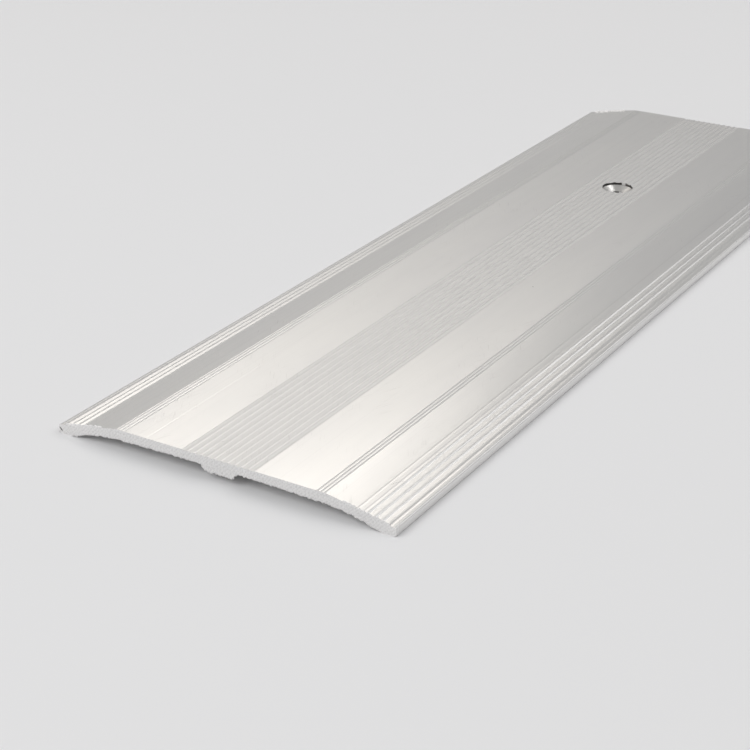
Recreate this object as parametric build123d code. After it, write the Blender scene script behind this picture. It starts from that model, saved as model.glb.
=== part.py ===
from build123d import *

import math
import os

# A door threshold strip: one length of extruded aluminium, 100 mm wide, sawn from a longer bar.
# It is a shallow arch with a flat tread, a ribbed band down the middle and grooved ramps.
# Millimetres. The strip runs along X, its width is along Y, and it rests on Z = 0.
# The origin is the centre of the rectangle that the strip covers on the floor.

# Overall size
LENGTH = 315.0
WIDTH = 100.0
HEIGHT = 6.0

# Outer face: a flat tread, then a slightly crowned ramp down to each upright edge
TREAD_HALF = 31.0
RAMP_MIDDLE = (40.5, 4.25)
EDGE_HEIGHT = 2.25
EDGE_ROUND = 0.8

# Inner face: a low arch that springs from a flat foot along each edge
FOOT_WIDTH = 4.0
HAUNCH = (39.5, 2.1)
SPRINGING = (30.0, 3.3)
ARCH_CROWN = 3.8

# A rib under the middle thickens the wall where the screws go through
RIB_HALF_AT_TOP = 5.4
RIB_HALF_AT_BOTTOM = 4.2
RIB_BOTTOM = 2.1
RIB_ROUND = 0.4

# Grooves in the outer face: distance from the centre line, width and depth
BAND_PITCH = 2.0
BAND_GROOVES = 11
BAND_GROOVE = (1.0, 0.3)
SHOULDER_GROOVES = (28.6, 29.6, 30.6)
SHOULDER_GROOVE = (0.5, 0.16)
RAMP_FIRST_GROOVE = 42.4
RAMP_PITCH = 2.0
RAMP_GROOVES = 4
RAMP_GROOVE = (1.1, 0.3)

# A hole for a 5 mm countersunk screw on the centre line
SCREW_FROM_END = 85.0
SCREW_HOLE_RADIUS = 2.6
COUNTERSINK_RADIUS = 5.1


def ramp_circle():
    """Centre and radius of the circle that the ramp follows."""
    (x1, y1), (x2, y2), (x3, y3) = (TREAD_HALF, HEIGHT), RAMP_MIDDLE, (WIDTH / 2, EDGE_HEIGHT)
    a, b, c = x2 - x1, y2 - y1, x3 - x1
    d = y3 - y1
    e = a * (x1 + x2) + b * (y1 + y2)
    f = c * (x1 + x3) + d * (y1 + y3)
    g = 2 * (a * d - b * c)
    centre = ((d * e - b * f) / g, (a * f - c * e) / g)
    return centre, math.dist(centre, (x1, y1))


def groove(y, width, depth):
    """Disc that cuts a round-bottomed groove across the outer face at y."""
    radius = (width**2 / 4 + depth**2) / (2 * depth)
    if abs(y) <= TREAD_HALF:
        return Pos(y, HEIGHT - depth + radius) * Circle(radius)
    (centre_y, centre_z), ramp_radius = ramp_circle()
    lean = math.asin((abs(y) - centre_y) / ramp_radius)
    reach = ramp_radius - depth + radius
    across = centre_y + reach * math.sin(lean)
    up = centre_z + reach * math.cos(lean)
    return Pos(math.copysign(across, y), up) * Circle(radius)


def arch():
    """Cross-section of the plain arch, with its outer face, edges, feet and inner face."""
    half = WIDTH / 2
    foot = half - FOOT_WIDTH
    haunch_y, haunch_z = HAUNCH
    spring_y, spring_z = SPRINGING
    ramp_y, ramp_z = RAMP_MIDDLE
    outline = [
        ThreePointArc((-half, EDGE_HEIGHT), (-ramp_y, ramp_z), (-TREAD_HALF, HEIGHT)),
        Line((-TREAD_HALF, HEIGHT), (TREAD_HALF, HEIGHT)),
        ThreePointArc((TREAD_HALF, HEIGHT), (ramp_y, ramp_z), (half, EDGE_HEIGHT)),
        Line((half, EDGE_HEIGHT), (half, 0)),
        Line((half, 0), (foot, 0)),
        ThreePointArc((foot, 0), (haunch_y, haunch_z), (spring_y, spring_z)),
        ThreePointArc((spring_y, spring_z), (0, ARCH_CROWN), (-spring_y, spring_z)),
        ThreePointArc((-spring_y, spring_z), (-haunch_y, haunch_z), (-foot, 0)),
        Line((-foot, 0), (-half, 0)),
        Line((-half, 0), (-half, EDGE_HEIGHT)),
    ]
    section = make_face(outline)
    corners = [v for v in section.vertices() if abs(abs(v.X) - half) < 0.01 and v.Y > 1]
    return fillet(corners, EDGE_ROUND)


def screw_rib():
    """Cross-section of the rib under the middle of the arch."""
    top = ARCH_CROWN + 0.5
    section = make_face(
        Polyline(
            (-RIB_HALF_AT_TOP, top),
            (RIB_HALF_AT_TOP, top),
            (RIB_HALF_AT_BOTTOM, RIB_BOTTOM),
            (-RIB_HALF_AT_BOTTOM, RIB_BOTTOM),
            close=True,
        )
    )
    corners = [v for v in section.vertices() if v.Y < top - 1]
    return fillet(corners, RIB_ROUND)


def groove_places():
    """Every groove of the outer face, as its place across the strip and its size."""
    first = -BAND_PITCH * (BAND_GROOVES - 1) / 2
    for number in range(BAND_GROOVES):
        yield first + number * BAND_PITCH, BAND_GROOVE
    for side in (-1, 1):
        for y in SHOULDER_GROOVES:
            yield side * y, SHOULDER_GROOVE
        for number in range(RAMP_GROOVES):
            yield side * (RAMP_FIRST_GROOVE + number * RAMP_PITCH), RAMP_GROOVE


def screw_hole():
    """Through hole with a 90 degree countersink, as the solid that is drilled away."""
    sink_depth = COUNTERSINK_RADIUS - SCREW_HOLE_RADIUS
    base = (Align.CENTER, Align.CENTER, Align.MIN)
    drill = Cylinder(SCREW_HOLE_RADIUS, HEIGHT, align=base)
    sink = Pos(0, 0, HEIGHT - sink_depth) * Cone(
        SCREW_HOLE_RADIUS, COUNTERSINK_RADIUS, sink_depth, align=base
    )
    return Pos(LENGTH / 2 - SCREW_FROM_END, 0, 0) * (drill + sink)


def threshold_profile():
    """The whole strip: the section drawn along its length, then drilled."""
    section = arch() + screw_rib()
    for y, (width, depth) in groove_places():
        section -= groove(y, width, depth)
    bar = extrude(Plane.YZ.offset(-LENGTH / 2) * section, LENGTH)
    return bar - screw_hole()


os.makedirs("parts", exist_ok=True)
export_step(threshold_profile(), "parts/threshold_profile.step")
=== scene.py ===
import math

import bpy
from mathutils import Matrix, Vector


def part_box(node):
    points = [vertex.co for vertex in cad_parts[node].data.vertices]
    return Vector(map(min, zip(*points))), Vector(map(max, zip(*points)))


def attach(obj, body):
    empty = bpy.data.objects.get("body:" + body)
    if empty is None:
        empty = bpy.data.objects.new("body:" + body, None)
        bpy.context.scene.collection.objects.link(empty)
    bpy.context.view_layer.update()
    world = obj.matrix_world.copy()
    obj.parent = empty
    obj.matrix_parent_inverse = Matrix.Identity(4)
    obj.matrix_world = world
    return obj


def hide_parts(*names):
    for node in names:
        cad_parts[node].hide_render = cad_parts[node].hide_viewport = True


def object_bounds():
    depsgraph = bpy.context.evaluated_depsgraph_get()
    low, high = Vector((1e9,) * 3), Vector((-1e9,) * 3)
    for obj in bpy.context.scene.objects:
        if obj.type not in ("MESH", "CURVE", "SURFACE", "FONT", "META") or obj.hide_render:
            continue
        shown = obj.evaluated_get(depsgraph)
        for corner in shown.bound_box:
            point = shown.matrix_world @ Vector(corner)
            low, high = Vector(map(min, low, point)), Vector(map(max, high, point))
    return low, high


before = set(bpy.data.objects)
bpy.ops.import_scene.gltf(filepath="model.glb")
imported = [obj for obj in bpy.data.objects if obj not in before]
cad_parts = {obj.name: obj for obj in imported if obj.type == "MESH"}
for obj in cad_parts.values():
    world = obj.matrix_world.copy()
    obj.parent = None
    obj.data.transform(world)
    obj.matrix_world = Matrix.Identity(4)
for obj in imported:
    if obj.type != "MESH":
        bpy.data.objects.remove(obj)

cad_low, cad_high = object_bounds()


# ---------------------------------------------------------------------------------------------
# The bar. One length of aluminium, pushed hot through a steel die that leaves its grooves and
# faint lines along its whole length. It is sawn to length, drilled, and countersunk for a screw.

MM = 0.001
bar_low, bar_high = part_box("threshold_profile")
LENGTH = bar_high.x - bar_low.x
HALF_WIDTH = bar_high.y
HEIGHT = bar_high.z

TREAD_HALF = 31 * MM
RAMP_MIDDLE = (40.5 * MM, 4.25 * MM)
RAMP_END = (49.55 * MM, 2.38 * MM)
EDGE_CORNER = (49.88 * MM, 2.12 * MM)
EDGE_SIDE = (HALF_WIDTH, 1.75 * MM)
FOOT_WIDTH = 4 * MM
FOOT_CHAMFER = (0.8 * MM, 0.25 * MM)
HAUNCH = (39.5 * MM, 2.1 * MM)
SPRINGING = (30 * MM, 3.3 * MM)
ARCH_MIDDLE = (18 * MM, 3.62 * MM)
RIB_TOP = (5.4 * MM, 3.78 * MM)
RIB_SIDE = (4.35 * MM, 2.4 * MM)
RIB_CORNER = (4.15 * MM, 2.17 * MM)
RIB_BOTTOM = (3.85 * MM, 2.1 * MM)
FINE_STEP = 0.1 * MM
COARSE_STEP = 0.8 * MM


def arc(start, middle, end, step):
    """Points from start towards end, without end, on the circle through all three."""
    (ax, ay), (bx, by), (cx, cy) = start, middle, end
    a, b, c = ax * ax + ay * ay, bx * bx + by * by, cx * cx + cy * cy
    d = 2 * (ax * (by - cy) + bx * (cy - ay) + cx * (ay - by))
    x = (a * (by - cy) + b * (cy - ay) + c * (ay - by)) / d
    y = (a * (cx - bx) + b * (ax - cx) + c * (bx - ax)) / d
    radius = math.hypot(ax - x, ay - y)
    first = math.atan2(ay - y, ax - x)
    last = math.atan2(cy - y, cx - x)
    turn = (last - first + math.pi) % (2 * math.pi) - math.pi
    count = max(2, round(abs(turn) * radius / step))
    for number in range(count):
        angle = first + turn * number / count
        yield x + radius * math.cos(angle), y + radius * math.sin(angle)


def straight(start, end, step):
    """Points from start towards end, without end, evenly spaced."""
    a, b = Vector(start), Vector(end)
    count = max(1, round((b - a).length / step))
    for number in range(count):
        yield tuple(a.lerp(b, number / count))


def outer_half():
    """The outer face from the centre line to the foot, as points across and up."""
    tread = (TREAD_HALF, HEIGHT)
    yield from straight((0, HEIGHT), tread, FINE_STEP)
    yield from arc(tread, RAMP_MIDDLE, RAMP_END, FINE_STEP)
    yield from arc(RAMP_END, EDGE_CORNER, EDGE_SIDE, FINE_STEP)
    yield from straight(EDGE_SIDE, (HALF_WIDTH, FOOT_CHAMFER[1]), COARSE_STEP)


def inner_half():
    """The foot and the inner face, from the bottom of the edge to the centre line."""
    edge, foot = (HALF_WIDTH, FOOT_CHAMFER[1]), (HALF_WIDTH - FOOT_WIDTH, 0)
    corner = (HALF_WIDTH - FOOT_CHAMFER[0], 0)
    yield from straight(edge, corner, COARSE_STEP)
    yield from straight(corner, foot, COARSE_STEP)
    yield from arc(foot, HAUNCH, SPRINGING, COARSE_STEP)
    yield from arc(SPRINGING, ARCH_MIDDLE, RIB_TOP, COARSE_STEP)
    yield from straight(RIB_TOP, RIB_SIDE, COARSE_STEP)
    yield from arc(RIB_SIDE, RIB_CORNER, RIB_BOTTOM, FINE_STEP)
    yield from straight(RIB_BOTTOM, (0, RIB_BOTTOM[1]), COARSE_STEP)
    yield 0, RIB_BOTTOM[1]


def section_outline():
    """The plain section as a loop of edges with its outer face marked. It lies flat in X and Y,
    upside down, because drawing it out along the bar turns it over."""
    outer, inner = list(outer_half()), list(inner_half())
    half = [(*point, True) for point in outer] + [(*point, False) for point in inner]
    other = [(-x, y, is_outer) for x, y, is_outer in reversed(half[1:-1])]
    loop = half + other
    edges = [(number, (number + 1) % len(loop)) for number in range(len(loop))]
    mesh = bpy.data.meshes.new("section_outline")
    mesh.from_pydata([(x, -y, 0) for x, y, _ in loop], edges, [])
    marks = mesh.attributes.new("outer_face", "BOOLEAN", "POINT")
    marks.data.foreach_set("value", [is_outer for _, _, is_outer in loop])
    return mesh


def add(tree, kind, inputs=None, **settings):
    """A node with its settings, and a value or a link on each of its inputs. A node given as an
    input stands for its first output."""
    made = tree.nodes.new(kind)
    for name, value in settings.items():
        setattr(made, name, value)
    for name, value in (inputs or {}).items():
        if isinstance(value, bpy.types.Node):
            value = next(socket for socket in value.outputs if socket.enabled)
        if isinstance(value, bpy.types.NodeSocket):
            tree.links.new(value, made.inputs[name])
        else:
            made.inputs[name].default_value = value
    return made


def linear(hex_colour):
    """An sRGB hex colour as linear red, green, blue and full alpha."""
    parts = [int(hex_colour[at : at + 2], 16) / 255 for at in (1, 3, 5)]
    return (*(c / 12.92 if c <= 0.04045 else ((c + 0.055) / 1.055) ** 2.4 for c in parts), 1.0)


def on_bar(tree, size, turn=0.0, about=(0, 0, 0)):
    """Places on the bar itself for a texture: size is how long, wide and deep one mark is in mm,
    turn slants the marks in the plane of the tread, and about is where the pattern is centred."""
    place = add(tree, "ShaderNodeTexCoord").outputs["Object"]
    moved = add(tree, "ShaderNodeVectorMath", {0: place, 1: about}, operation="SUBTRACT")
    turned = add(tree, "ShaderNodeMapping", {"Vector": moved, "Rotation": (0, 0, turn)})
    scale = tuple(1 / (mm * MM) for mm in size)
    return add(tree, "ShaderNodeMapping", {"Vector": turned, "Scale": scale})


def tinted(tree, under, layers):
    """A colour with others laid over it, each by a share that is a value or a mask."""
    tone = linear(under)
    for share, over in layers:
        inputs = {0: share, 6: tone, 7: linear(over)}
        tone = add(tree, "ShaderNodeMix", inputs, data_type="RGBA").outputs[2]
    return tone


def metal(name, surface_of):
    """A bare metal, with whatever surface_of gives its shader."""
    material = bpy.data.materials.new(name)
    material.use_nodes = True
    tree = material.node_tree
    tree.nodes.clear()
    shader = add(tree, "ShaderNodeBsdfPrincipled", {"Metallic": 1.0, **surface_of(tree)})
    add(tree, "ShaderNodeOutputMaterial", {"Surface": shader})
    return material


def scratches(tree, turn, length, seed):
    """Straight scratches a fifth of a millimetre wide, all one way and in patches, as a mask."""
    inputs = {"Vector": on_bar(tree, (length, 0.2, 50), turn), "W": seed, "Scale": 1.0, "Detail": 0.0}
    marks = add(tree, "ShaderNodeTexNoise", inputs, noise_dimensions="4D")
    inputs = {"Vector": on_bar(tree, (24, 18, 50)), "W": seed, "Scale": 1.0, "Detail": 1.0}
    patches = add(tree, "ShaderNodeTexNoise", inputs, noise_dimensions="4D")
    thin = add(tree, "ShaderNodeMapRange", {"Value": marks, "From Min": 0.7, "From Max": 0.76})
    where = add(tree, "ShaderNodeMapRange", {"Value": patches, "From Min": 0.52, "From Max": 0.62})
    return add(tree, "ShaderNodeMath", {0: thin, 1: where}, operation="MULTIPLY")


BAND_HALF = 11 * MM
RIB_PITCH = 2 * MM
LANE_HALF = 0.75 * MM
LANE_BLEND = 0.05 * MM


def mill_surface(tree):
    """Die lines, handling clouds, scratches and pits on a drawn face. The ribbed band is matt
    between its ribs, and only the tops of the ribs are rubbed bright."""
    inputs = {"Vector": on_bar(tree, (900, 0.5, 3)), "Scale": 1.0, "Detail": 3.0}
    die_lines = add(tree, "ShaderNodeTexNoise", inputs)
    inputs = {"Vector": on_bar(tree, (70, 16, 20)), "Scale": 1.0, "Detail": 3.0}
    clouds = add(tree, "ShaderNodeTexNoise", inputs)
    one_way = scratches(tree, math.radians(24), 9, 1.0)
    other_way = scratches(tree, math.radians(-31), 6, 8.0)
    scratched = add(tree, "ShaderNodeMath", {0: one_way, 1: other_way}, operation="MAXIMUM")
    cells = add(tree, "ShaderNodeTexVoronoi", {"Vector": on_bar(tree, (7, 7, 7)), "Scale": 1.0})
    picked = add(tree, "ShaderNodeSeparateColor", {0: cells.outputs["Color"]})
    some = add(tree, "ShaderNodeMath", {0: picked, 1: 0.8}, operation="GREATER_THAN")
    reach = {"Value": cells.outputs["Distance"], "From Min": 0.03, "From Max": 0.018}
    pit = add(tree, "ShaderNodeMapRange", reach)
    pitted = add(tree, "ShaderNodeMath", {0: some, 1: pit}, operation="MULTIPLY")

    handled = add(tree, "ShaderNodeMapRange", {"Value": clouds, "From Min": 0.35, "From Max": 0.7})
    drawn = add(
        tree,
        "ShaderNodeMapRange",
        {"Value": die_lines, "From Min": 0.55, "From Max": 0.85, "To Max": 0.3},
    )
    worn = add(tree, "ShaderNodeMath", {0: scratched, 1: 0.25}, operation="MULTIPLY")
    inputs = {"Value": clouds, "From Min": 0.3, "From Max": 0.7, "To Min": 0.33, "To Max": 0.36}
    clouded = add(tree, "ShaderNodeMapRange", inputs)
    place = add(tree, "ShaderNodeSeparateXYZ", {0: add(tree, "ShaderNodeTexCoord").outputs["Object"]})
    off_centre = add(tree, "ShaderNodeMath", {0: place.outputs["Y"]}, operation="ABSOLUTE")
    in_band = add(tree, "ShaderNodeMath", {0: off_centre, 1: BAND_HALF}, operation="LESS_THAN")
    inputs = {0: off_centre, 1: RIB_PITCH / 2}
    from_groove = add(tree, "ShaderNodeMath", inputs, operation="PINGPONG")
    ends = {"From Min": LANE_HALF + LANE_BLEND, "From Max": LANE_HALF - LANE_BLEND}
    off_rib = add(tree, "ShaderNodeMapRange", {"Value": from_groove, **ends})
    matt = add(tree, "ShaderNodeMath", {0: in_band, 1: off_rib}, operation="MULTIPLY")
    band = add(tree, "ShaderNodeMath", {0: matt, 1: 0.16, 2: clouded}, operation="MULTIPLY_ADD")
    rough = add(tree, "ShaderNodeMath", {0: scratched, 1: 0.1, 2: band}, operation="MULTIPLY_ADD")
    matt_share = add(tree, "ShaderNodeMath", {0: matt, 1: 0.9}, operation="MULTIPLY")
    layers = [(handled, "#ECEBEA"), (matt_share, "#E4E3E2"), (drawn, "#CFCDCB")]
    layers += [(worn, "#BDBBB9"), (pitted, "#757371")]
    inputs = {"Height": die_lines, "Strength": 1.0, "Distance": 0.006 * MM}
    lined = add(tree, "ShaderNodeBump", inputs)
    inputs = {"Height": scratched, "Strength": 1.0, "Distance": 0.01 * MM, "Normal": lined}
    bumped = add(tree, "ShaderNodeBump", inputs, invert=True)
    across = add(tree, "ShaderNodeTangent", direction_type="RADIAL", axis="X")
    return {
        "Base Color": tinted(tree, "#F3F2F0", layers),
        "Roughness": rough,
        "Anisotropic": 0.4,
        "Tangent": across,
        "Normal": bumped,
    }


def sawn_surface(tree):
    """The slanting lines that the saw's teeth leave, with torn grain between them. The lines are
    drawn 0.7 mm apart, twice as far as the teeth leave them, so that they show. They are bumped,
    and also painted white as a painted glint."""
    places = on_bar(tree, (1.6, 1.6, 1.6))
    inputs = {"Vector": places, "Scale": 1.0, "Distortion": 4.5, "Detail": 3.0, "Detail Scale": 0.8}
    lines = add(tree, "ShaderNodeTexWave", inputs, bands_direction="DIAGONAL").outputs["Fac"]
    inputs = {"Vector": on_bar(tree, (0.5, 0.5, 0.5)), "Scale": 1.0, "Detail": 4.0}
    grain = add(tree, "ShaderNodeTexNoise", inputs)
    torn = add(tree, "ShaderNodeMapRange", {"Value": grain, "From Min": 0.3, "From Max": 0.7})
    # Painted glint: the saw lines are painted white as well as bumped.
    bright = add(
        tree,
        "ShaderNodeMapRange",
        {"Value": lines, "From Min": 0.2, "From Max": 0.9, "To Max": 0.25},
    )
    grained = add(tree, "ShaderNodeBump", {"Height": grain, "Strength": 1.0, "Distance": 0.012 * MM})
    inputs = {"Height": lines, "Strength": 1.0, "Distance": 0.01 * MM, "Normal": grained}
    bumped = add(tree, "ShaderNodeBump", inputs)
    tone = tinted(tree, "#F6F5F4", [(torn, "#E2E1E0"), (bright, "#FFFFFF")])
    return {"Base Color": tone, "Roughness": 0.6, "Normal": bumped}


HOLE_FROM_END = 85 * MM
HOLE_RADIUS = 2.6 * MM
COUNTERSINK_RADIUS = 5.1 * MM
WALL_BLEND = 0.1 * MM


def turned_surface(tree):
    """Rings round the hole, drawn 0.4 mm apart, twice as far as the cutter leaves them. The steep
    walls of the bore and the rim are painted dark and dull: painted shade, as little light gets in."""
    hole = (bar_high.x - HOLE_FROM_END, 0, 0)
    inputs = {"Vector": on_bar(tree, (1.3, 1.3, 1.3), about=hole), "Scale": 1.0, "Distortion": 0.4}
    settings = {"wave_type": "RINGS", "rings_direction": "Z"}
    rings = add(tree, "ShaderNodeTexWave", inputs, **settings).outputs["Fac"]
    shade = add(tree, "ShaderNodeMath", {0: rings, 1: 0.5}, operation="MULTIPLY")
    bumped = add(tree, "ShaderNodeBump", {"Height": rings, "Strength": 1.0, "Distance": 0.02 * MM})
    place = add(tree, "ShaderNodeTexCoord").outputs["Object"]
    flat = add(tree, "ShaderNodeVectorMath", {0: place, 1: (1, 1, 0)}, operation="MULTIPLY")
    gap = add(tree, "ShaderNodeVectorMath", {0: flat, 1: hole}, operation="DISTANCE")
    inputs = {0: gap.outputs["Value"], 1: HOLE_RADIUS + WALL_BLEND}
    in_bore = add(tree, "ShaderNodeMath", inputs, operation="LESS_THAN")
    inputs = {0: gap.outputs["Value"], 1: COUNTERSINK_RADIUS - WALL_BLEND}
    at_rim = add(tree, "ShaderNodeMath", inputs, operation="GREATER_THAN")
    # Painted shade: the steep walls of the bore and the rim are coloured dark and dull, for the
    # little light that reaches them.
    painted_wall_shade = add(tree, "ShaderNodeMath", {0: in_bore, 1: at_rim}, operation="MAXIMUM")
    rough = add(tree, "ShaderNodeMath", {0: painted_wall_shade, 1: 0.2, 2: 0.28}, operation="MULTIPLY_ADD")
    tone = tinted(tree, "#E8E6E3", [(shade, "#CDCBC8"), (painted_wall_shade, "#5E5C5A")])
    return {"Base Color": tone, "Roughness": rough, "Normal": bumped}


# Mill-finish extruded 6060 aluminium: silky, pale and slightly warm, with its gloss smeared
# across the bar by the die lines and clouded where hands and other bars have rubbed it.
mill_finish = metal("mill_finish_aluminium", mill_surface)

# Sawn aluminium: rough and light grey, with slanting lines that are bumped and painted white,
# # a painted glint.
sawn_face = metal("sawn_aluminium", sawn_surface)

# Machined aluminium: the glossiest metal on the bar, in rings round the screw hole, between
# # the walls of the rim and the bore, which are painted dark and dull as painted shade.
turned_face = metal("countersunk_aluminium", turned_surface)


def groove_row():
    """A group that gives how deep one row of equal grooves is cut at a distance from the centre
    line. Power 1 makes straight walls, 2 a round bottom and 6 a flat one."""
    tree = bpy.data.node_groups.new("Groove row", "GeometryNodeTree")
    sizes = ("First", "Pitch", "Last Number", "Inner Width", "Outer Width", "Power", "Depth")
    for name in ("Distance", *sizes):
        tree.interface.new_socket(name, in_out="INPUT", socket_type="NodeSocketFloat")
    tree.interface.new_socket("Cut", in_out="OUTPUT", socket_type="NodeSocketFloat")
    given = add(tree, "NodeGroupInput").outputs
    distance, first, pitch = given["Distance"], given["First"], given["Pitch"]
    beyond = add(tree, "ShaderNodeMath", {0: distance, 1: first}, operation="SUBTRACT")
    steps = add(tree, "ShaderNodeMath", {0: beyond, 1: pitch}, operation="DIVIDE")
    nearest = add(tree, "ShaderNodeMath", {0: steps}, operation="ROUND")
    number = add(tree, "ShaderNodeClamp", {"Value": nearest, "Min": 0.0, "Max": given["Last Number"]})
    centre = add(tree, "ShaderNodeMath", {0: number, 1: pitch, 2: first}, operation="MULTIPLY_ADD")
    outward = add(tree, "ShaderNodeMath", {0: distance, 1: centre}, operation="SUBTRACT")
    inward = add(tree, "ShaderNodeMath", {0: centre, 1: distance}, operation="SUBTRACT")
    outer = add(tree, "ShaderNodeMath", {0: outward, 1: given["Outer Width"]}, operation="DIVIDE")
    inner = add(tree, "ShaderNodeMath", {0: inward, 1: given["Inner Width"]}, operation="DIVIDE")
    reached = add(tree, "ShaderNodeMath", {0: outer, 1: inner}, operation="MAXIMUM")
    reached = add(tree, "ShaderNodeMath", {0: reached, 1: 1.0}, operation="MINIMUM")
    risen = add(tree, "ShaderNodeMath", {0: reached, 1: given["Power"]}, operation="POWER")
    left = add(tree, "ShaderNodeMath", {0: 1.0, 1: risen}, operation="SUBTRACT")
    cut = add(tree, "ShaderNodeMath", {0: left, 1: given["Depth"]}, operation="MULTIPLY")
    add(tree, "NodeGroupOutput", {"Cut": cut})
    return tree


# The rows of grooves are the ribbed band, the shoulder, the steps and fine lines of the ramp, and
# one line by the edge. The score is on one side only.
BAR_SIZES = {
    "Length": LENGTH,
    "Half Width": HALF_WIDTH,
    "Height": HEIGHT,
    "Band First": 0.0,
    "Band Pitch": RIB_PITCH,
    "Band Last Number": 5,
    "Band Inner Width": LANE_HALF,
    "Band Outer Width": LANE_HALF,
    "Band Power": 6.0,
    "Band Depth": 0.16 * MM,
    "Shoulder First": 28.6 * MM,
    "Shoulder Pitch": 1.0 * MM,
    "Shoulder Last Number": 2,
    "Shoulder Inner Width": 0.25 * MM,
    "Shoulder Outer Width": 0.25 * MM,
    "Shoulder Power": 1.0,
    "Shoulder Depth": 0.13 * MM,
    "Ramp First": 42.4 * MM,
    "Ramp Pitch": 2.0 * MM,
    "Ramp Last Number": 2,
    "Ramp Inner Width": 0.3 * MM,
    "Ramp Outer Width": 1.1 * MM,
    "Ramp Power": 1.0,
    "Ramp Depth": 0.26 * MM,
    "Fine First": 39.6 * MM,
    "Fine Pitch": 1.7 * MM,
    "Fine Last Number": 1,
    "Fine Inner Width": 0.3 * MM,
    "Fine Outer Width": 0.3 * MM,
    "Fine Power": 2.0,
    "Fine Depth": 0.02 * MM,
    "Lip First": 48.4 * MM,
    "Lip Pitch": 1.0 * MM,
    "Lip Last Number": 0,
    "Lip Inner Width": 0.4 * MM,
    "Lip Outer Width": 0.4 * MM,
    "Lip Power": 2.0,
    "Lip Depth": 0.06 * MM,
    "Score First": 21.6 * MM,
    "Score Pitch": 1.0 * MM,
    "Score Last Number": 0,
    "Score Inner Width": 0.2 * MM,
    "Score Outer Width": 0.2 * MM,
    "Score Power": 2.0,
    "Score Depth": 0.02 * MM,
    "Die Line Width": 0.5 * MM,
    "Die Line Depth": 0.004 * MM,
    "Nick Depth": 1.5 * MM,
    "Nick Width": 0.3 * MM,
    "Nick Length": 1.2 * MM,
    "Nick Inset": 0.7 * MM,
    "Nick Height": 1.2 * MM,
    "Nick Lean": -0.75,
    "Hole From End": HOLE_FROM_END,
    "Hole Radius": HOLE_RADIUS,
    "Countersink Radius": COUNTERSINK_RADIUS,
    "Countersink Steepness": 0.68,
    "Rim Depth": 0.8 * MM,
}


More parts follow.
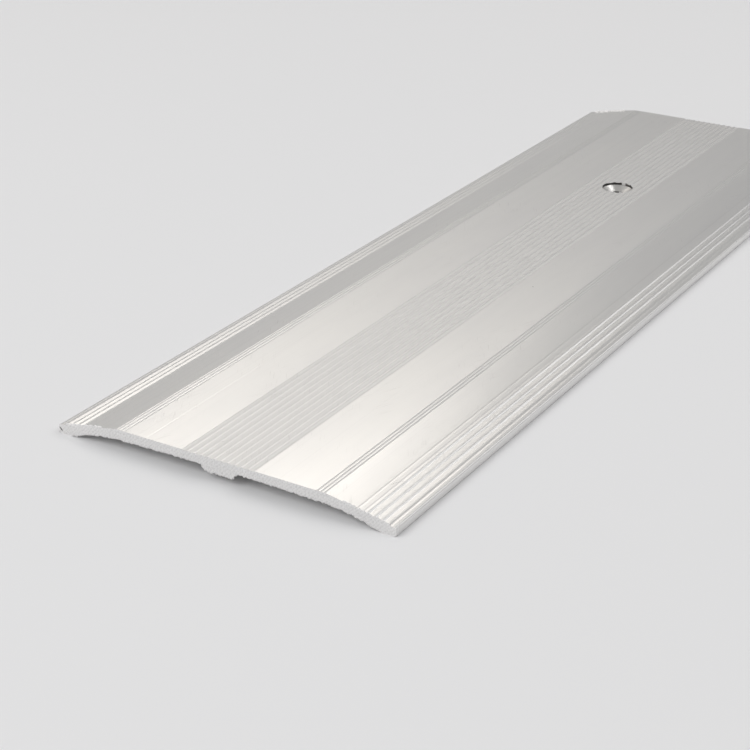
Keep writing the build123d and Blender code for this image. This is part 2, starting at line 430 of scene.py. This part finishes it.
def drawn_bar_tree():
    """Grooves the section, draws it out to its length, and drills and countersinks the hole."""
    tree = bpy.data.node_groups.new("Drawn bar", "GeometryNodeTree")
    tree.interface.new_socket("Section", in_out="INPUT", socket_type="NodeSocketGeometry")
    for name in BAR_SIZES:
        tree.interface.new_socket(name, in_out="INPUT", socket_type="NodeSocketFloat")
    tree.interface.new_socket("Bar", in_out="OUTPUT", socket_type="NodeSocketGeometry")
    given = add(tree, "NodeGroupInput").outputs

    # The die: every row of grooves and the die lines push the outer face in.
    place = add(tree, "GeometryNodeInputPosition")
    across = add(tree, "ShaderNodeSeparateXYZ", {0: place}).outputs["X"]
    distance = add(tree, "ShaderNodeMath", {0: across}, operation="ABSOLUTE").outputs[0]
    inputs = {0: across, 1: given["Die Line Width"]}
    noise_at = add(tree, "ShaderNodeMath", inputs, operation="DIVIDE")
    noise = add(tree, "ShaderNodeTexNoise", {"W": noise_at, "Scale": 1.0}, noise_dimensions="1D")
    inputs = {0: noise, 1: given["Die Line Depth"]}
    cut = add(tree, "ShaderNodeMath", inputs, operation="MULTIPLY")
    rows = groove_row()
    for row in ("Band", "Shoulder", "Ramp", "Fine", "Lip", "Score"):
        measured = across if row == "Score" else distance
        group = add(tree, "GeometryNodeGroup", node_tree=rows)
        for socket in group.inputs:
            source = measured if socket.name == "Distance" else given[f"{row} {socket.name}"]
            tree.links.new(source, socket)
        cut = add(tree, "ShaderNodeMath", {0: cut, 1: group}, operation="ADD")
    down = add(tree, "ShaderNodeCombineXYZ", {"Y": cut})
    named = add(tree, "GeometryNodeInputNamedAttribute", {"Name": "outer_face"}, data_type="BOOLEAN")
    inputs = {"Geometry": given["Section"], "Selection": named, "Offset": down}
    grooved = add(tree, "GeometryNodeSetPosition", inputs)

    # The press: the section is drawn out along the bar and closed where it is sawn.
    half = add(tree, "ShaderNodeMath", {0: given["Length"], 1: 0.5}, operation="MULTIPLY")
    behind = add(tree, "ShaderNodeMath", {0: half, 1: -1.0}, operation="MULTIPLY")
    near = add(tree, "ShaderNodeCombineXYZ", {"X": behind})
    far = add(tree, "ShaderNodeCombineXYZ", {"X": half})
    line = add(tree, "GeometryNodeCurvePrimitiveLine", {"Start": far, "End": near})
    loop = add(tree, "GeometryNodeMeshToCurve", {"Mesh": grooved})
    inputs = {"Curve": line, "Profile Curve": loop, "Fill Caps": True}
    bar = add(tree, "GeometryNodeCurveToMesh", inputs)

    # The drill press: a drill through the bar, a cone, and the steep rim above the cone. The saw
    # has also left a narrow slanting nick in one sawn corner.
    hole_x = add(tree, "ShaderNodeMath", {0: half, 1: given["Hole From End"]}, operation="SUBTRACT")
    through = add(tree, "ShaderNodeMath", {0: given["Height"], 1: 4.0}, operation="MULTIPLY")
    inputs = {"Vertices": 96, "Radius": given["Hole Radius"], "Depth": through}
    drill = add(tree, "GeometryNodeMeshCylinder", inputs)
    at_hole = add(tree, "ShaderNodeCombineXYZ", {"X": hole_x})
    drill = add(tree, "GeometryNodeTransform", {"Geometry": drill, "Translation": at_hole})
    sink_radius = given["Countersink Radius"]
    inputs = {0: sink_radius, 1: given["Countersink Steepness"]}
    reach = add(tree, "ShaderNodeMath", inputs, operation="MULTIPLY")
    inputs = {"Vertices": 96, "Radius Top": sink_radius, "Radius Bottom": 0.0, "Depth": reach}
    sink = add(tree, "GeometryNodeMeshCone", inputs)
    inputs = {0: given["Height"], 1: given["Rim Depth"]}
    rim_z = add(tree, "ShaderNodeMath", inputs, operation="SUBTRACT")
    tip = add(tree, "ShaderNodeMath", {0: rim_z, 1: reach}, operation="SUBTRACT")
    at_tip = add(tree, "ShaderNodeCombineXYZ", {"X": hole_x, "Z": tip})
    sink = add(tree, "GeometryNodeTransform", {"Geometry": sink, "Translation": at_tip})
    rim_size = add(tree, "ShaderNodeMath", {0: given["Rim Depth"], 1: 2.0}, operation="MULTIPLY")
    inputs = {"Vertices": 96, "Radius": sink_radius, "Depth": rim_size}
    rim = add(tree, "GeometryNodeMeshCylinder", inputs)
    at_rim = add(tree, "ShaderNodeCombineXYZ", {"X": hole_x, "Z": given["Height"]})
    rim = add(tree, "GeometryNodeTransform", {"Geometry": rim, "Translation": at_rim})
    both_ways = add(tree, "ShaderNodeMath", {0: given["Nick Depth"], 1: 2.0}, operation="MULTIPLY")
    inputs = {"X": both_ways, "Y": given["Nick Width"], "Z": given["Nick Length"]}
    nick = add(tree, "GeometryNodeMeshCube", {"Size": add(tree, "ShaderNodeCombineXYZ", inputs)})
    inputs = {0: given["Half Width"], 1: given["Nick Inset"]}
    nick_y = add(tree, "ShaderNodeMath", inputs, operation="SUBTRACT")
    inputs = {"X": behind, "Y": nick_y, "Z": given["Nick Height"]}
    at_corner = add(tree, "ShaderNodeCombineXYZ", inputs)
    lean = add(tree, "ShaderNodeCombineXYZ", {"X": given["Nick Lean"]})
    inputs = {"Geometry": nick, "Translation": at_corner, "Rotation": lean}
    nick = add(tree, "GeometryNodeTransform", inputs)
    cutters = add(tree, "GeometryNodeMeshBoolean", operation="UNION", solver="EXACT")
    for cutter in (drill, sink, rim, nick):
        tree.links.new(cutter.outputs[0], cutters.inputs["Mesh 2"])
    inputs = {"Mesh 1": bar, "Mesh 2": cutters}
    bar = add(tree, "GeometryNodeMeshBoolean", inputs, operation="DIFFERENCE", solver="EXACT")

    # Which faces were sawn and which were turned by the countersink.
    facing = add(tree, "ShaderNodeSeparateXYZ", {0: add(tree, "GeometryNodeInputNormal")})
    lengthwise = add(tree, "ShaderNodeMath", {0: facing.outputs["X"]}, operation="ABSOLUTE")
    upwards = add(tree, "ShaderNodeMath", {0: facing.outputs["Z"]}, operation="ABSOLUTE")
    is_end = add(tree, "ShaderNodeMath", {0: lengthwise, 1: 0.99}, operation="GREATER_THAN")
    flat_scale = {0: place, 1: (1, 1, 0)}
    flat_place = add(tree, "ShaderNodeVectorMath", flat_scale, operation="MULTIPLY")
    inputs = {0: flat_place, 1: at_hole}
    gap = add(tree, "ShaderNodeVectorMath", inputs, operation="DISTANCE").outputs["Value"]
    inside = add(tree, "ShaderNodeMath", {0: gap, 1: sink_radius}, operation="LESS_THAN")
    slanted = add(tree, "ShaderNodeMath", {0: upwards, 1: 0.9}, operation="LESS_THAN")
    is_turned = add(tree, "ShaderNodeMath", {0: inside, 1: slanted}, operation="MULTIPLY")

    bar = add(tree, "GeometryNodeRealizeInstances", {"Geometry": bar})
    bar = add(tree, "GeometryNodeSetMaterial", {"Geometry": bar, "Material": mill_finish})
    for chosen, material in ((is_turned, turned_face), (is_end, sawn_face)):
        inputs = {"Geometry": bar, "Selection": chosen, "Material": material}
        bar = add(tree, "GeometryNodeSetMaterial", inputs)
    add(tree, "NodeGroupOutput", {"Bar": bar})
    return tree


def grown(name, mesh, tree, sizes):
    """A new object with the plain mesh that a tree makes from a starting mesh and its sizes."""
    start = bpy.data.objects.new(name, mesh)
    bpy.context.scene.collection.objects.link(start)
    modifier = start.modifiers.new(name, "NODES")
    modifier.node_group = tree
    for socket in tree.interface.items_tree:
        if socket.name in sizes:
            modifier[socket.identifier] = sizes[socket.name]
    evaluated = start.evaluated_get(bpy.context.evaluated_depsgraph_get())
    made = bpy.data.meshes.new_from_object(evaluated)
    start.modifiers.remove(modifier)
    start.data = made
    return start


bar = grown("threshold_bar", section_outline(), drawn_bar_tree(), BAR_SIZES)
bar.data.shade_smooth()
bar.data.set_sharp_from_angle(angle=math.radians(32))
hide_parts("threshold_profile")
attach(bar, "root")


# ---------------------------------------------------------------------------------------------
# The saw burr. The saw leaves a ragged fringe of torn metal hanging from the lower edge of each
# sawn end. It is the bar's own metal, thin and bright, and nobody has filed it off.

BURR_SIZES = {
    "Spacing": 0.3 * MM,
    "Thickness": 0.1 * MM,
    "Width": 0.42 * MM,
    "Hang": 0.34 * MM,
    "Bare Share": 0.3,
    "Seed": 4,
}
BURR_INSET = 0.12 * MM
LOWEST_BURR = 0.5 * MM
RAGGED_RAMP = (36 * MM, 48 * MM)


def sawn_edges():
    """The edges of both sawn ends that the saw tore: the whole lower edge and both ramps, as lines
    of edges a little inside the end faces."""
    under = [(y, z) for y, z in inner_half() if z > LOWEST_BURR]
    ramp = [(y, z) for y, z in outer_half() if RAGGED_RAMP[0] < y < RAGGED_RAMP[1]]
    places, edges = [], []
    for line in (under, ramp):
        for end in (-1, 1):
            for side in (-1, 1):
                first = len(places)
                places += [(end * (bar_high.x - BURR_INSET), side * y, z) for y, z in line]
                edges += [(number, number + 1) for number in range(first, len(places) - 1)]
    mesh = bpy.data.meshes.new("sawn_edges")
    mesh.from_pydata(places, edges, [])
    return mesh


def saw_burr_tree():
    """Hangs slivers of uneven size and slant along the edges it is given, with gaps."""
    tree = bpy.data.node_groups.new("Saw burr", "GeometryNodeTree")
    tree.interface.new_socket("Edges", in_out="INPUT", socket_type="NodeSocketGeometry")
    for name in BURR_SIZES:
        kind = "NodeSocketInt" if name == "Seed" else "NodeSocketFloat"
        tree.interface.new_socket(name, in_out="INPUT", socket_type=kind)
    tree.interface.new_socket("Burr", in_out="OUTPUT", socket_type="NodeSocketGeometry")
    given = add(tree, "NodeGroupInput").outputs
    curve = add(tree, "GeometryNodeMeshToCurve", {"Mesh": given["Edges"]})
    inputs = {"Curve": curve, "Length": given["Spacing"]}
    points = add(tree, "GeometryNodeResampleCurve", inputs, mode="LENGTH")
    inputs = {"Probability": given["Bare Share"], "Seed": given["Seed"]}
    bare = add(tree, "FunctionNodeRandomValue", inputs, data_type="BOOLEAN")
    kept = add(tree, "FunctionNodeBooleanMath", {0: bare.outputs[3]}, operation="NOT")
    inputs = {"Min": (0.8, 0.5, 0.3), "Max": (1.0, 1.5, 1.6), "Seed": given["Seed"]}
    uneven = add(tree, "FunctionNodeRandomValue", inputs, data_type="FLOAT_VECTOR")
    inputs = {"X": given["Thickness"], "Y": given["Width"], "Z": given["Hang"]}
    full = add(tree, "ShaderNodeCombineXYZ", inputs)
    size = add(tree, "ShaderNodeVectorMath", {0: uneven.outputs[0], 1: full}, operation="MULTIPLY")
    inputs = {"Min": (-0.7, 0, 0), "Max": (0.7, 0, 0), "Seed": given["Seed"]}
    slant = add(tree, "FunctionNodeRandomValue", inputs, data_type="FLOAT_VECTOR")
    sliver = add(tree, "GeometryNodeMeshIcoSphere", {"Radius": 1.0, "Subdivisions": 2})
    inputs = {
        "Points": points,
        "Selection": kept,
        "Instance": sliver,
        "Rotation": slant.outputs[0],
        "Scale": size,
    }
    hung = add(tree, "GeometryNodeInstanceOnPoints", inputs)
    burr = add(tree, "GeometryNodeRealizeInstances", {"Geometry": hung})
    burr = add(tree, "GeometryNodeSetMaterial", {"Geometry": burr, "Material": sawn_face})
    add(tree, "NodeGroupOutput", {"Burr": burr})
    return tree


burr = grown("saw_burr", sawn_edges(), saw_burr_tree(), BURR_SIZES)
burr.data.shade_smooth()
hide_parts("threshold_profile")
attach(burr, "root")


# ---------------------------------------------------------------------------------------------
# The floor, the lights and the camera. The bar lies on a plain pale table between two broad
# soft boxes. Two small ones behind it put a sheen on the flat faces, and a low one lights an edge.

FLOOR_HALF = 4.0
floor_mesh = bpy.data.meshes.new("floor")
corners = [(-FLOOR_HALF, -FLOOR_HALF, 0), (FLOOR_HALF, -FLOOR_HALF, 0)]
corners += [(FLOOR_HALF, FLOOR_HALF, 0), (-FLOOR_HALF, FLOOR_HALF, 0)]
floor_mesh.from_pydata(corners, [], [(0, 1, 2, 3)])
floor = bpy.data.objects.new("floor", floor_mesh)
bpy.context.scene.collection.objects.link(floor)
paint = bpy.data.materials.new("matt_pale_board")
paint.use_nodes = True
board = paint.node_tree.nodes["Principled BSDF"]
board.inputs["Base Color"].default_value = linear("#EAEAEB")
board.inputs["Roughness"].default_value = 0.9
board.inputs["Specular IOR Level"].default_value = 0.2
floor_mesh.materials.append(paint)

world = bpy.data.worlds.new("studio")
world.use_nodes = True
sky = world.node_tree.nodes["Background"]
sky.inputs["Color"].default_value = linear("#FFFFFF")
sky.inputs["Strength"].default_value = 0.4
bpy.context.scene.world = world


def heading(azimuth, elevation):
    """Unit vector from the bar towards something at these angles, with azimuth from +X to +Y."""
    a, e = math.radians(azimuth), math.radians(elevation)
    return Vector((math.cos(a) * math.cos(e), math.sin(a) * math.cos(e), math.sin(e)))


def soft_box(name, azimuth, elevation, distance, size, power, colour):
    """A square light that faces the middle of the bar."""
    lamp = bpy.data.lights.new(name, "AREA")
    lamp.shape = "SQUARE"
    lamp.size = size
    lamp.energy = power
    lamp.color = linear(colour)[:3]
    holder = bpy.data.objects.new(name, lamp)
    bpy.context.scene.collection.objects.link(holder)
    towards = heading(azimuth, elevation)
    holder.location = towards * distance
    holder.rotation_euler = (-towards).to_track_quat("-Z", "Y").to_euler()
    holder.visible_camera = False
    return holder


soft_box("back_soft_box", 30, 42, 2.0, 0.7, 2.6, "#FFFAF3")
soft_box("left_back_soft_box", 50, 42, 2.0, 0.7, 1.8, "#FFFAF3")
soft_box("left_soft_box", 150, 40, 2.0, 1.4, 18, "#FFFFFF")
soft_box("right_soft_box", -60, 50, 2.0, 1.2, 9, "#FFFFFF")
soft_box("right_edge_soft_box", -29, 26, 2.0, 0.5, 0.9, "#FFFFFF")

AIM_FROM_END = 71 * MM
AIM_TO_RIGHT = 0.8 * MM
CAMERA_AZIMUTH = 180 + 31.53
CAMERA_ELEVATION = 25.46
CAMERA_DISTANCE = 482 * MM
aim = Vector((cad_low.x + AIM_FROM_END, -AIM_TO_RIGHT, 0))
lens = bpy.data.cameras.new("camera")
lens.lens = 85
lens.sensor_width = 36
camera = bpy.data.objects.new("camera", lens)
bpy.context.scene.collection.objects.link(camera)
from_aim = heading(CAMERA_AZIMUTH, CAMERA_ELEVATION)
camera.location = aim + from_aim * CAMERA_DISTANCE
camera.rotation_euler = (-from_aim).to_track_quat("-Z", "Y").to_euler()
bpy.context.scene.camera = camera
bpy.context.scene.view_settings.view_transform = "Standard"
